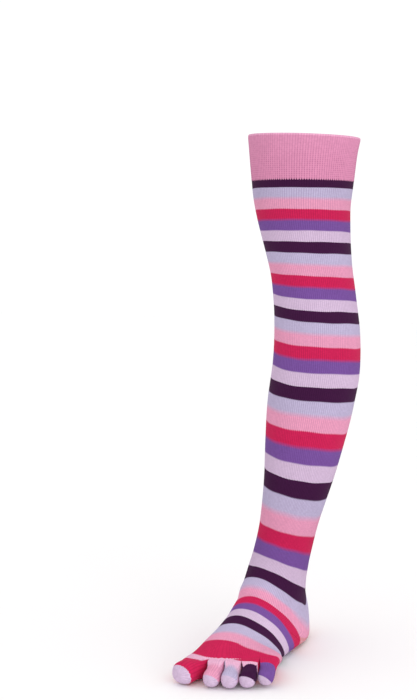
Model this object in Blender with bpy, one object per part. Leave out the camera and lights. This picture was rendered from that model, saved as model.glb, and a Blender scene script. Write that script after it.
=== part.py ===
"""Over-the-knee toe sock, held in the form that a leg gives it.

The sock stands upright with its toes towards -Y and its little toe towards +X. The origin is the centre of the
opening at the cuff's rim. One surface runs from the rim to the toe line; the pieces are stretches of it with a
knitted wall, and five toe pockets grow out of the toe line.
"""

import math

import bmesh
import bpy
import numpy as np

# Driving sizes, in metres. The depths are front to back, and the ankle height is where the foot's sections start.
LEG_HEIGHT = 0.502
ANKLE_HEIGHT = 0.112
THIGH_WIDTH = 0.136
THIGH_DEPTH = 0.136
CALF_WIDTH = 0.104
CALF_DEPTH = 0.115
ANKLE_WIDTH = 0.069
ANKLE_DEPTH = 0.076
HEEL_WIDTH = 0.064
BALL_WIDTH = 0.098
FOOT_LENGTH = 0.248
CUFF_HEIGHT = 0.056
TOE_LENGTH = 0.038
TOE_HEIGHT = 0.0190
BIG_TOE_LENGTH = 0.041
BIG_TOE_HEIGHT = 0.0245

# Knitted walls: the cuff is turned over and double, the rest is single plain knit.
CUFF_WALL = 0.0022
KNIT_WALL = 0.0014
SEAM_GAP = 0.0003
GORE_SETBACK = 0.003

# Facets round the sock and round a toe pocket, samples of a curve that is measured, and mesh tolerances
COLUMNS = 36
CUFF_ROWS = 5
POCKET_ROWS = 6
TOE_ARC_FACETS = 5
TOE_WEB_FACETS = 3
TOE_TUBE_ROWS = 5
LINE_SAMPLES = 1500
SHARP_ANGLE = math.radians(50)
MERGE_DISTANCE = 1e-6

# Leg sections from the rim down. Heights are shares of LEG_HEIGHT above the ankle height; across, along, half_width
# and half_depth are shares of the width and depth that the table follows; tilt and lead are slopes, of the section
# towards the back and towards the little-toe side.
LEG_COLUMNS = ("name", "height", "across", "along", "half_width", "half_depth", "tilt", "lead")
THIGH_SECTIONS = (
    ("rim",      1.000, 0.105, 0.190, 0.496, 0.500, 0.00, 0.04),
    ("cuff",     0.945, 0.100, 0.170, 0.468, 0.480, 0.00, 0.02),
    ("above",    0.885, 0.105, 0.150, 0.444, 0.467, 0.00, 0.01),
    ("knee_top", 0.832, 0.112, 0.137, 0.418, 0.456, 0.01, 0.01),
    ("knee",     0.777, 0.138, 0.132, 0.393, 0.445, 0.02, 0.01),
)
CALF_SECTIONS = (
    ("knee_low", 0.700, 0.235, 0.170, 0.478, 0.492, 0.03, 0.03),
    ("below",    0.635, 0.275, 0.200, 0.474, 0.480, 0.04, 0.05),
    ("calf_up",  0.545, 0.305, 0.240, 0.490, 0.492, 0.05, 0.055),
    ("calf",     0.450, 0.293, 0.250, 0.503, 0.502, 0.06, 0.05),
    ("calf_low", 0.360, 0.238, 0.220, 0.499, 0.482, 0.08, 0.05),
    ("shin",     0.265, 0.185, 0.160, 0.453, 0.435, 0.12, 0.085),
    ("shin_low", 0.175, 0.142, 0.080, 0.392, 0.375, 0.12, 0.11),
)
ANKLE_SECTIONS = (
    ("ankle_up", 0.088, 0.115, 0.000, 0.505, 0.495, 0.17, 0.14),
    ("ankle",    0.024, 0.035, -0.050, 0.480, 0.487, 0.24, 0.16),
)

# Foot sections. The top and bottom points are shares of FOOT_LENGTH (y) and ANKLE_HEIGHT (z); medial, lateral,
# across, ridge and dip are shares of the width that the table follows; arch is a share of ANKLE_HEIGHT; side is how
# high the widest point lies between bottom and top; the rounds are the exponents of the upper and lower half.
FOOT_COLUMNS = ("name", "top_y", "top_z", "bottom_y", "bottom_z", "medial", "lateral", "across", "side",
                "top_round", "bottom_round", "ridge", "arch", "lead", "dip")
HEEL_SECTIONS = (
    ("malleoli",  -0.190, 1.000, 0.133, 0.90, 0.525, 0.515, -0.02, 0.50, 2.0, 2.0, 0.00, 0.00, 0.19, 0.09),
    ("ankle_low", -0.216, 0.905, 0.145, 0.82, 0.545, 0.510, -0.05, 0.50, 2.0, 2.0, -0.02, 0.00, 0.20, 0.19),
    ("heel_top",  -0.244, 0.825, 0.166, 0.70, 0.565, 0.510, -0.07, 0.50, 2.1, 2.0, -0.05, 0.00, 0.20, 0.33),
    ("heel_rose", -0.268, 0.757, 0.194, 0.56, 0.580, 0.520, -0.08, 0.50, 2.2, 2.1, -0.09, 0.00, 0.18, 0.40),
    ("heel_back", -0.280, 0.722, 0.226, 0.32, 0.580, 0.540, -0.08, 0.50, 2.2, 2.3, -0.11, 0.00, 0.15, 0.36),
    ("heel_low",  -0.288, 0.693, 0.214, 0.06, 0.575, 0.555, -0.08, 0.49, 2.2, 2.7, -0.12, 0.00, 0.13, 0.29),
    ("heel_sole", -0.296, 0.667, 0.115, 0.00, 0.565, 0.565, -0.08, 0.48, 2.2, 3.1, -0.13, 0.03, 0.10, 0.24),
)
FOOT_SECTIONS = (
    ("heel_front", -0.304, 0.642, 0.000, 0.00, 0.372, 0.362, -0.052, 0.46, 2.2, 3.2, -0.09, 0.06, 0.08, 0.15),
    ("instep",     -0.362, 0.556, -0.105, 0.00, 0.390, 0.368, -0.062, 0.44, 2.1, 3.2, -0.10, 0.11, 0.00, 0.13),
    ("midfoot",    -0.427, 0.468, -0.210, 0.00, 0.440, 0.372, -0.075, 0.42, 2.0, 3.2, -0.11, 0.11, -0.09, 0.11),
    ("fore",       -0.500, 0.366, -0.330, 0.00, 0.500, 0.400, -0.075, 0.42, 2.2, 3.2, -0.14, 0.06, -0.16, 0.06),
    ("ball",       -0.578, 0.286, -0.436, 0.00, 0.540, 0.465, -0.060, 0.42, 2.5, 3.2, -0.14, 0.02, -0.20, -0.02),
    ("toe_line",   -0.650, 0.215, -0.600, 0.01, 0.548, 0.495, -0.045, 0.46, 3.0, 3.0, -0.10, 0.00, -0.18, -0.13),
)

# How fast the instep's ridge and the arch fade out round a section, and how far up it lead and dip come in
RIDGE_POWER = 1.5
ARCH_POWER = 1.5
SOLE_FADE = 0.3

# Stripes of the leg from the cuff down: how tall each is beside the others, at the stripe numbers given. The knit is
# stretched most over the shin and bunches at the bend of the ankle.
LEG_STRIPES = 32
FIRST_STRIPE = 0.62
STRIPE_HEIGHTS = ((1, 1.00), (12, 1.05), (17, 1.28), (21, 1.56), (26, 1.66), (28, 1.38), (29.5, 0.85), (32, 0.76))
LEG_ORDER = ("plum", "blue", "rose", "crimson", "violet", "lilac")
# Stripes of the foot from the heel to the toe line, with how tall each is beside the others
FOOT_STRIPES = (("crimson", 1.0), ("violet", 1.0), ("lilac", 1.0), ("plum", 1.1), ("blue", 1.0), ("rose", 1.0),
                ("crimson", 1.1), ("crimson", 1.1))
# The rose stripe over the instep runs round into the heel: past the gore's angle from the front it is as tall as
# this share of the heel, and the heel pocket fills the rest.
GORE_ANGLE = 80
ROSE_AT_BACK = 0.15
ROSE_FALL = 0.8
ROSE_ROWS = 2
# Tubes of whole stripes that the leg and the foot are parted into, with the row that each ends before
LEG_TUBES = (("knee", 8), ("upper_calf", 14), ("lower_calf", 20), ("shin", 26), ("ankle", LEG_STRIPES + ROSE_ROWS))
FOOT_TUBES = (("foot", 6), ("forefoot", len(FOOT_STRIPES)))

# Toe pockets: where each ends on the toe line as a share of its width from the inner edge, shares of the toe length,
# of the stretch of toe line that the pocket grows from and of the toe height, the heading in degrees towards the
# little-toe side, the lift off the ground as a share of the height, and the ends of the base band and of the
# coloured stretch as shares of the length.
TOE_COLUMNS = ("name", "ends", "length", "width", "height", "heading", "lift", "yarn", "band", "tip")
TOES = (
    ("big_toe",    0.290, 1.00, 0.90, 1.00,  -9.0, 0.00, "crimson", 0.10, 0.66),
    ("second_toe", 0.475, 1.00, 0.97, 1.00,   5.0, 0.00, "rose",    0.20, 0.60),
    ("third_toe",  0.655, 0.95, 0.97, 0.98,   5.0, 0.00, "blue",    0.20, 0.60),
    ("fourth_toe", 0.830, 0.84, 0.97, 0.96,   5.0, 0.02, "plum",    0.20, 0.64),
    ("little_toe", 1.000, 0.72, 0.95, 0.90,   6.0, 0.12, "violet",  0.15, 0.64),
)
TOE_CAP = 0.30
TOE_CAP_ROWS = 4
TOE_CAP_POWER = 2.2
TOE_BLEND = 0.45

# Yarns: colour of the knit, sRGB
YARNS = {
    "orchid": (0.88, 0.58, 0.73),
    "plum": (0.24, 0.10, 0.24),
    "blue": (0.75, 0.72, 0.86),
    "rose": (0.92, 0.62, 0.75),
    "crimson": (0.78, 0.15, 0.33),
    "violet": (0.49, 0.34, 0.63),
    "lilac": (0.85, 0.77, 0.87),
}
YARN_NAMES = list(YARNS)
KNIT_ROUGHNESS = 0.9


def leg_rows(table, width, depth):
    """Leg sections as full rows: front point, back point, half widths, centre and slopes, in metres."""
    rows = []
    for values in table:
        row = dict(zip(LEG_COLUMNS, values))
        z = ANKLE_HEIGHT + row["height"] * LEG_HEIGHT
        y = row["along"] * depth
        half_depth = row["half_depth"] * depth
        half_width = row["half_width"] * width
        rise = row["tilt"] * half_depth
        rows.append((y - half_depth, z + rise, y + half_depth, z - rise, half_width, half_width,
                     row["across"] * width, 0.5, 2.0, 2.0, 0.0, 0.0, row["lead"], 0.0))
    return rows


def foot_rows(table, width):
    """Heel and foot sections as full rows, in metres."""
    rows = []
    for values in table:
        row = dict(zip(FOOT_COLUMNS, values))
        rows.append((row["top_y"] * FOOT_LENGTH, row["top_z"] * ANKLE_HEIGHT,
                     row["bottom_y"] * FOOT_LENGTH, row["bottom_z"] * ANKLE_HEIGHT,
                     row["medial"] * width, row["lateral"] * width, row["across"] * width, row["side"],
                     row["top_round"], row["bottom_round"], row["ridge"] * width, row["arch"] * ANKLE_HEIGHT,
                     row["lead"], row["dip"] * width))
    return rows


SECTION_TABLES = (THIGH_SECTIONS, CALF_SECTIONS, ANKLE_SECTIONS, HEEL_SECTIONS, FOOT_SECTIONS)
SECTION_NAMES = [row[0] for table in SECTION_TABLES for row in table]
SECTIONS = np.array(leg_rows(THIGH_SECTIONS, THIGH_WIDTH, THIGH_DEPTH)
                    + leg_rows(CALF_SECTIONS, CALF_WIDTH, CALF_DEPTH)
                    + leg_rows(ANKLE_SECTIONS, ANKLE_WIDTH, ANKLE_DEPTH)
                    + foot_rows(HEEL_SECTIONS, HEEL_WIDTH)
                    + foot_rows(FOOT_SECTIONS, BALL_WIDTH))
HEEL_START = float(SECTION_NAMES.index("heel_rose"))
FOOT_START = float(SECTION_NAMES.index("heel_front"))
TOE_LINE = float(SECTION_NAMES.index("toe_line"))
FRONT = math.pi / 2


def section_at(station):
    """Section values at a station, a row number that need not be whole, by a Catmull-Rom curve through the rows."""
    last = len(SECTIONS) - 1
    station = np.clip(np.asarray(station, float), 0, last)
    i = np.minimum(station.astype(int), last - 1)
    f = (station - i)[..., None]
    here, after = SECTIONS[i], SECTIONS[i + 1]
    before = np.where((i > 0)[..., None], SECTIONS[np.maximum(i - 1, 0)], 2 * here - after)
    beyond = np.where((i < last - 1)[..., None], SECTIONS[np.minimum(i + 2, last)], 2 * after - here)
    start_slope, end_slope = (after - before) / 2, (beyond - here) / 2
    return ((2 * f**3 - 3 * f**2 + 1) * here + (f**3 - 2 * f**2 + f) * start_slope
            + (3 * f**2 - 2 * f**3) * after + (f**3 - f**2) * end_slope)


def sock_surface(angle, station):
    """Points of the sock's outer face, in the frame of the ground below the ankle.

    The angle is 0 at the little-toe side, 90 degrees at the front or top, 180 at the inner side and 270 at the back
    or sole. Each section is a superellipse between its front and back points; lead and dip push it ahead along the
    sock, across its chord, though not off the flat of the sole, and arch lifts the inner edge of the sole.
    """
    angle, station = np.broadcast_arrays(np.asarray(angle, float), np.asarray(station, float))
    (front_y, front_z, back_y, back_z, medial, lateral, across, side,
     top_round, bottom_round, ridge, arch, lead, dip) = np.moveaxis(section_at(station), -1, 0)
    cosine, sine = np.cos(angle), np.sin(angle)
    power = 2 / np.where(sine > 0, top_round, bottom_round)
    wide = np.sign(cosine) * np.abs(cosine) ** power
    tall = np.sign(sine) * np.abs(sine) ** power
    share = np.where(tall > 0, side + (1 - side) * tall, side + side * tall)
    reach = np.where(cosine > 0, lateral, medial) * wide
    x = across + reach + ridge * np.clip(tall, 0, 1) ** RIDGE_POWER
    chord_y, chord_z = back_y - front_y, back_z - front_z
    chord = np.hypot(chord_y, chord_z)
    ahead = lead * reach + dip * cosine * cosine
    off_sole = 1 - (1 - np.clip(share / SOLE_FADE, 0, 1)) ** 2
    y = back_y - chord_y * share + ahead * chord_z / chord
    z = back_z - chord_z * share - ahead * chord_y / chord * off_sole
    z = z + arch * np.clip(-wide, 0, 1) ** ARCH_POWER * np.clip(-tall, 0, 1) ** 0.5
    return np.stack([x, y, z], -1)


# The frame's origin: the centre of the opening at the rim
RIM_CENTRE = (sock_surface(FRONT, 0.0) + sock_surface(-FRONT, 0.0)) / 2


def stations_along(start, end, heights):
    """Stations that part the front line between two stations in the proportions given."""
    stations = np.linspace(start, end, LINE_SAMPLES)
    line = sock_surface(FRONT, stations)
    length = np.concatenate([[0.0], np.cumsum(np.linalg.norm(np.diff(line, axis=0), axis=1))])
    edges = np.concatenate([[0.0], np.cumsum(heights)])
    return np.interp(edges / edges[-1] * length[-1], length, stations)


def station_below_rim(distance):
    """Station at a distance down the front line from the rim."""
    stations = np.linspace(0.0, HEEL_START, LINE_SAMPLES)
    line = sock_surface(FRONT, stations)
    length = np.concatenate([[0.0], np.cumsum(np.linalg.norm(np.diff(line, axis=0), axis=1))])
    return float(np.interp(distance, length, stations))


def unit(vectors):
    """Vectors at length 1."""
    return vectors / np.maximum(np.linalg.norm(vectors, axis=-1, keepdims=True), 1e-12)


def surface_slopes(angle, station):
    """How the sock's outer face runs around and along, by central differences of its two parameters."""
    step = 1e-3
    around = (sock_surface(angle + step, station) - sock_surface(angle - step, station)) / (2 * step)
    along = (sock_surface(angle, station + step) - sock_surface(angle, station - step)) / (2 * step)
    return around, along


def seam_step(angle, station, distance):
    """How far the station moves for a distance along the sock."""
    along = surface_slopes(angle, station)[1]
    return distance / np.linalg.norm(along, axis=-1)


def trimmed(angles, stations, start=True, end=True):
    """Stations [around, along] whose first and last rows keep half of the seam gap to the neighbouring piece."""
    stations = stations.copy()
    if start:
        stations[:, 0] += seam_step(angles[:, 0], stations[:, 0], SEAM_GAP / 2)
    if end:
        stations[:, -1] -= seam_step(angles[:, -1], stations[:, -1], SEAM_GAP / 2)
    return stations


def level_row(normals, row):
    """Turn the normals of a row into the plane of the toe line, so that walls end flat against each other there."""
    ring = sock_surface(np.arange(COLUMNS) * 2 * math.pi / COLUMNS, TOE_LINE)
    spokes = ring - ring.mean(axis=0)
    axis = unit(np.cross(spokes, np.roll(spokes, -1, 0)).sum(axis=0))
    level = normals[:, row]
    normals[:, row] = unit(level - (level @ axis)[:, None] * axis)


def sock_walls(angles, stations, wall, level_end=False):
    """Outer and inner grid of a stretch of the sock."""
    outer = sock_surface(angles, stations)
    around, along = surface_slopes(angles, stations)
    normals = unit(np.cross(around, along))
    if level_end:
        level_row(normals, -1)
    return outer, outer - wall * normals


def pocket_walls(outer, wall):
    """Outer and inner grid of a toe pocket, the wall laid off along the normals of the grid."""
    around = np.roll(outer, -1, 0) - np.roll(outer, 1, 0)
    normals = unit(np.cross(around, np.gradient(outer, axis=1)))
    level_row(normals, 0)
    normals[:, -1] = unit(outer[:, -1] - outer[:, -3].mean(axis=0))
    return outer, outer - wall * normals


def shell_faces(count_around, count_along, closed, tip):
    """Quads of a walled grid: outer face, inner face turned round, and the rims that join them.

    Returns the corner indices and, for each face, the row of cells that it belongs to.
    """
    inner = count_around * count_along
    spans = count_around if closed else count_around - 1
    faces, rows = [], []

    def at(i, j):
        return (i % count_around) * count_along + j

    for i in range(spans):
        for j in range(count_along - 1):
            a, b, c, d = at(i, j), at(i + 1, j), at(i + 1, j + 1), at(i, j + 1)
            faces += [(a, b, c, d), (inner + d, inner + c, inner + b, inner + a)]
            rows += [j, j]
        a, b = at(i, 0), at(i + 1, 0)
        faces.append((b, a, inner + a, inner + b))
        rows.append(0)
        if not tip:
            a, b = at(i, count_along - 1), at(i + 1, count_along - 1)
            faces.append((a, b, inner + b, inner + a))
            rows.append(count_along - 2)
    if not closed:
        for j in range(count_along - 1):
            a, b = at(0, j), at(0, j + 1)
            faces.append((a, b, inner + b, inner + a))
            a, b = at(count_around - 1, j), at(count_around - 1, j + 1)
            faces.append((b, a, inner + a, inner + b))
            rows += [j, j]
    return faces, rows


def make_materials():
    """One knitted material for each yarn."""
    materials = {}
    for name, colour in YARNS.items():
        material = bpy.data.materials.new(name + "_yarn")
        material.use_nodes = True
        shader = material.node_tree.nodes["Principled BSDF"]
        linear = [((c + 0.055) / 1.055) ** 2.4 for c in colour]
        shader.inputs["Base Color"].default_value = (*linear, 1.0)
        shader.inputs["Roughness"].default_value = KNIT_ROUGHNESS
        shader.inputs["Metallic"].default_value = 0.0
        materials[name] = material
    return materials


def make_piece(name, walls, row_yarns, materials, closed=True, tip=False):
    """A knitted piece: its outer and inner grid [around, along], and the yarn of each row of cells."""
    outer, inner = walls
    points = np.concatenate([outer.reshape(-1, 3), inner.reshape(-1, 3)]) - RIM_CENTRE
    faces, rows = shell_faces(outer.shape[0], outer.shape[1], closed, tip)
    mesh = bpy.data.meshes.new(name)
    mesh.from_pydata(points.tolist(), [], faces)
    used = sorted(set(row_yarns), key=YARN_NAMES.index)
    for yarn in used:
        mesh.materials.append(materials[yarn])
    mesh.polygons.foreach_set("material_index", [used.index(row_yarns[row]) for row in rows])
    tidy = bmesh.new()
    tidy.from_mesh(mesh)
    bmesh.ops.remove_doubles(tidy, verts=tidy.verts, dist=MERGE_DISTANCE)
    bmesh.ops.triangulate(tidy, faces=tidy.faces)
    tidy.to_mesh(mesh)
    tidy.free()
    mesh.shade_smooth()
    mesh.set_sharp_from_angle(angle=SHARP_ANGLE)
    piece = bpy.data.objects.new(name, mesh)
    bpy.context.scene.collection.objects.link(piece)
    return piece


def ring_grid(stations):
    """Angles and stations of a whole tube: the columns round the sock, and the stations of its rows."""
    angles = np.arange(COLUMNS) * 2 * math.pi / COLUMNS
    return np.broadcast_arrays(angles[:, None], stations)


def rose_share(angles):
    """How much of the heel's height the rose stripe takes at each angle: all of it up to the gores, less behind."""
    from_front = np.abs((angles - FRONT + math.pi) % (2 * math.pi) - math.pi)
    gore = math.radians(GORE_ANGLE)
    behind = np.clip((from_front - gore) / (math.pi - gore), 0, 1)
    return 1 - (1 - ROSE_AT_BACK) * np.sin(behind * math.pi / 2) ** ROSE_FALL


def make_cuff(materials):
    rows = np.linspace(0.0, station_below_rim(CUFF_HEIGHT), CUFF_ROWS + 1)
    angles, stations = ring_grid(rows[None, :])
    walls = sock_walls(angles, trimmed(angles, stations, start=False), CUFF_WALL)
    make_piece("cuff", walls, ["orchid"] * CUFF_ROWS, materials)


def stripe_heights():
    """Relative height of each leg stripe."""
    numbers, heights = zip(*STRIPE_HEIGHTS)
    tall = np.interp(np.arange(LEG_STRIPES), numbers, heights)
    tall[0] = FIRST_STRIPE
    return tall


def make_tubes(tubes, stations, yarns, materials, level_end=False):
    """Tubes of whole stripes, one after the other down the rows of stations."""
    start = 0
    for name, end in tubes:
        angles, rows = ring_grid(stations[:, start:end + 1])
        level = level_end and end == tubes[-1][1]
        walls = sock_walls(angles, trimmed(angles, rows), KNIT_WALL, level_end=level)
        make_piece(name, walls, yarns[start:end], materials)
        start = end


def make_leg(materials):
    """The striped leg; its last tube, the ankle, ends in the rose stripe that runs round into the heel."""
    edges = stations_along(station_below_rim(CUFF_HEIGHT), HEEL_START, stripe_heights())
    angles, striped = ring_grid(edges[None, :])
    heel_share = rose_share(angles[:, :1]) * np.arange(1, ROSE_ROWS + 1) / ROSE_ROWS
    stations = np.concatenate([striped, HEEL_START + heel_share * (FOOT_START - HEEL_START)], axis=1)
    yarns = [LEG_ORDER[k % len(LEG_ORDER)] for k in range(LEG_STRIPES)] + ["rose"] * ROSE_ROWS
    make_tubes(LEG_TUBES, stations, yarns, materials)


def make_heel(materials):
    """The heel pocket: a lens between the rose stripe and the foot, pointed at the two gores."""
    step = 2 * math.pi / COLUMNS
    gore = math.radians(GORE_ANGLE)
    reach = int(round((math.pi - gore) / step))
    columns = -FRONT + np.arange(-reach, reach + 1) * step
    for corner, inwards in ((0, 1), (-1, -1)):
        around = surface_slopes(columns[corner], FOOT_START)[0]
        columns[corner] += inwards * GORE_SETBACK / np.linalg.norm(around)
    top = HEEL_START + rose_share(columns) * (FOOT_START - HEEL_START)
    stations = top[:, None] + (FOOT_START - top)[:, None] * np.linspace(0.0, 1.0, POCKET_ROWS + 1)
    angles, stations = np.broadcast_arrays(columns[:, None], stations)
    stations = trimmed(angles, stations)
    for corner in (0, -1):
        stations[corner] = stations[corner].mean()
    walls = sock_walls(angles, stations, KNIT_WALL)
    make_piece("heel", walls, ["orchid"] * POCKET_ROWS, materials, closed=False)


def make_foot(materials):
    yarns, heights = zip(*FOOT_STRIPES)
    stations = ring_grid(stations_along(FOOT_START, TOE_LINE, heights)[None, :])[1]
    make_tubes(FOOT_TUBES, stations, yarns, materials, level_end=True)


def toe_line_angles(share):
    """Angles of the top and the bottom of the toe line at a share of its width from the inner edge."""
    angles = np.linspace(0.0, math.pi, LINE_SAMPLES)
    top, bottom = sock_surface(angles, TOE_LINE)[:, 0], sock_surface(-angles, TOE_LINE)[:, 0]
    across = top[-1] + share * (top[0] - top[-1])
    return (float(np.interp(-across, -top, angles)), -float(np.interp(-across, -bottom, angles)))


def between(start, end, count):
    """Points on the straight line between two points, without its ends."""
    return start + (end - start) * np.linspace(0, 1, count + 1)[1:-1, None]


def toe_base(start, end):
    """Base ring of the toe pocket between two shares of the toe line: arcs of the toe line, and webs across it."""
    top_start, bottom_start = toe_line_angles(start)
    top_end, bottom_end = toe_line_angles(end)
    side_facets = 2 * TOE_ARC_FACETS + TOE_WEB_FACETS
    if start == 0.0:
        arc = sock_surface(np.linspace(top_end, 2 * math.pi + bottom_end, side_facets + 1), TOE_LINE)
        return np.concatenate([arc, between(arc[-1], arc[0], TOE_WEB_FACETS)])
    if end == 1.0:
        arc = sock_surface(np.linspace(bottom_start, top_start, side_facets + 1), TOE_LINE)
        return np.concatenate([arc, between(arc[-1], arc[0], TOE_WEB_FACETS)])
    top = sock_surface(np.linspace(top_end, top_start, TOE_ARC_FACETS + 1), TOE_LINE)
    bottom = sock_surface(np.linspace(bottom_start, bottom_end, TOE_ARC_FACETS + 1), TOE_LINE)
    return np.concatenate([top, between(top[-1], bottom[0], TOE_WEB_FACETS),
                           bottom, between(bottom[-1], top[0], TOE_WEB_FACETS)])


def ease(t):
    """Smooth step from 0 to 1."""
    t = np.clip(t, 0, 1)
    return t * t * (3 - 2 * t)


def toe_surface(toe, base, size, along):
    """Grid [around, along] of a toe pocket: its base ring, blended into ellipses that close in a round tip."""
    length, height = size
    centre = (base.max(axis=0) + base.min(axis=0)) / 2
    half = (base.max(axis=0) - base.min(axis=0)) / 2
    width = toe["width"] * 2 * half[0]
    angles = np.arctan2((base[:, 2] - centre[2]) / half[2], (base[:, 0] - centre[0]) / half[0])
    heading = math.radians(toe["heading"])
    ahead = np.array([math.sin(heading), -math.cos(heading), 0.0])
    aside = np.array([math.cos(heading), math.sin(heading), 0.0])
    path = centre + ahead * (length * along)[:, None]
    rest = height * (0.5 + toe["lift"])
    path[:, 2] = centre[2] + (rest - centre[2]) * ease(along)
    cap = np.clip((along - 1 + TOE_CAP) / TOE_CAP, 0, 1)
    radius = np.sqrt(np.maximum(1 - cap ** TOE_CAP_POWER, 0))
    tube = (path[None] + aside * (width / 2 * np.cos(angles)[:, None] * radius)[..., None]
            + np.array([0.0, 0.0, 1.0]) * (height / 2 * np.sin(angles)[:, None] * radius)[..., None])
    blend = ease(along / TOE_BLEND)[None, :, None]
    return (base[:, None] + (path - path[0])[None]) * (1 - blend) + tube * blend


def make_toes(materials):
    start = 0.0
    for values in TOES:
        toe = dict(zip(TOE_COLUMNS, values))
        big = toe["name"] == "big_toe"
        length, height = (BIG_TOE_LENGTH, BIG_TOE_HEIGHT) if big else (TOE_LENGTH, TOE_HEIGHT)
        size = (toe["length"] * length, toe["height"] * height)
        base = toe_base(start, toe["ends"])
        base += unit((base.max(axis=0) + base.min(axis=0)) / 2 - base) * SEAM_GAP
        round_rows = np.sin(np.linspace(0, math.pi / 2, TOE_CAP_ROWS + 1)[1:])
        along = np.concatenate([np.linspace(0, 1 - TOE_CAP, TOE_TUBE_ROWS + 1), 1 - TOE_CAP * (1 - round_rows)])
        middles = (along[1:] + along[:-1]) / 2
        yarns = ["orchid" if m < toe["band"] else toe["yarn"] if m < toe["tip"] else "lilac" for m in middles]
        outer = toe_surface(toe, base, size, along)
        outer[:, 0] += unit(outer[:, 1] - outer[:, 0]) * SEAM_GAP
        make_piece(toe["name"], pocket_walls(outer, KNIT_WALL), yarns, materials, tip=True)
        start = toe["ends"]


def main():
    for old in list(bpy.data.objects):
        bpy.data.objects.remove(old, do_unlink=True)
    materials = make_materials()
    make_cuff(materials)
    make_leg(materials)
    make_heel(materials)
    make_foot(materials)
    make_toes(materials)


main()
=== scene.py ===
"""Looks of a striped over-the-knee toe sock, as a leg fills it: knit, yarns, floor, light and camera.

The sock stands with its toes towards -Y and its little toe towards +X. All lengths are in metres. The tables
of sections and the formulas of leg and foot are those of the frame's solids; here they carry the finer
surface of the knit. The toe pockets are a little plumper here than in the solids, and some point further out.
"""

import math

import bmesh
import bpy
import numpy as np
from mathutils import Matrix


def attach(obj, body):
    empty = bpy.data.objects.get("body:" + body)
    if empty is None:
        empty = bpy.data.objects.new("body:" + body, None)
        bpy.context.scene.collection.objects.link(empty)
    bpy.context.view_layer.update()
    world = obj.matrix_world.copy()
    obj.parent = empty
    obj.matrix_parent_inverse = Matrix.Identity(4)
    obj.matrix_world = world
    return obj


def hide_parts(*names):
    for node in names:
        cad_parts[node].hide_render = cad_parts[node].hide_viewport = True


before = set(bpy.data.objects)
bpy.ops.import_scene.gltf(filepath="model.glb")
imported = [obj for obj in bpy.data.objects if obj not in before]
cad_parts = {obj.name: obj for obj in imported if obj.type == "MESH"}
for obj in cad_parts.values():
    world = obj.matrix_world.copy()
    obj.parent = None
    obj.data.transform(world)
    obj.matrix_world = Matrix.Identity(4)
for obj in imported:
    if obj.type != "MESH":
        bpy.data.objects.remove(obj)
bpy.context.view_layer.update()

# Driving sizes
LEG_HEIGHT = 0.502
ANKLE_HEIGHT = 0.112
THIGH_WIDTH = 0.136
THIGH_DEPTH = 0.136
CALF_WIDTH = 0.104
CALF_DEPTH = 0.115
ANKLE_WIDTH = 0.069
ANKLE_DEPTH = 0.076
HEEL_WIDTH = 0.064
BALL_WIDTH = 0.098
FOOT_LENGTH = 0.248
CUFF_HEIGHT = 0.056
TOE_LENGTH = 0.038
TOE_HEIGHT = 0.0190
BIG_TOE_LENGTH = 0.041
BIG_TOE_HEIGHT = 0.0245
CUFF_WALL = 0.0022
KNIT_WALL = 0.0014
# Seams are knitted through, so that the pieces lap over each other by a hair
SEAM_LAP = 0.0002
# How far the heel pocket's points stay off the gores' ends, and how high the gore line stands. Its width is a
# share of the heel's height; it rises past a share of the way from the back line to the gores, over another.
GORE_SETBACK = 0.0004
GORE_RELIEF = 0.0004
GORE_WIDTH = 0.035
GORE_START = 0.42
GORE_FADE = 0.1

# Sections of the leg: shares of the height above the ankle, of the width and of the depth, then two slopes
THIGH_SECTIONS = (
    ("rim",      1.000, 0.105, 0.190, 0.496, 0.500, 0.00, 0.04),
    ("cuff",     0.945, 0.100, 0.170, 0.468, 0.480, 0.00, 0.02),
    ("above",    0.885, 0.105, 0.150, 0.444, 0.467, 0.00, 0.01),
    ("knee_top", 0.832, 0.112, 0.137, 0.418, 0.456, 0.01, 0.01),
    ("knee",     0.777, 0.138, 0.132, 0.393, 0.445, 0.02, 0.01),
)
CALF_SECTIONS = (
    ("knee_low", 0.700, 0.235, 0.170, 0.478, 0.492, 0.03, 0.03),
    ("below",    0.635, 0.275, 0.200, 0.474, 0.480, 0.04, 0.05),
    ("calf_up",  0.545, 0.305, 0.240, 0.490, 0.492, 0.05, 0.055),
    ("calf",     0.450, 0.293, 0.250, 0.503, 0.502, 0.06, 0.05),
    ("calf_low", 0.360, 0.238, 0.220, 0.499, 0.482, 0.08, 0.05),
    ("shin",     0.265, 0.185, 0.160, 0.453, 0.435, 0.12, 0.085),
    ("shin_low", 0.175, 0.142, 0.080, 0.392, 0.375, 0.12, 0.11),
)
ANKLE_SECTIONS = (
    ("ankle_up", 0.088, 0.115, 0.000, 0.505, 0.495, 0.17, 0.14),
    ("ankle",    0.024, 0.035, -0.050, 0.480, 0.487, 0.24, 0.16),
)
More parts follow.
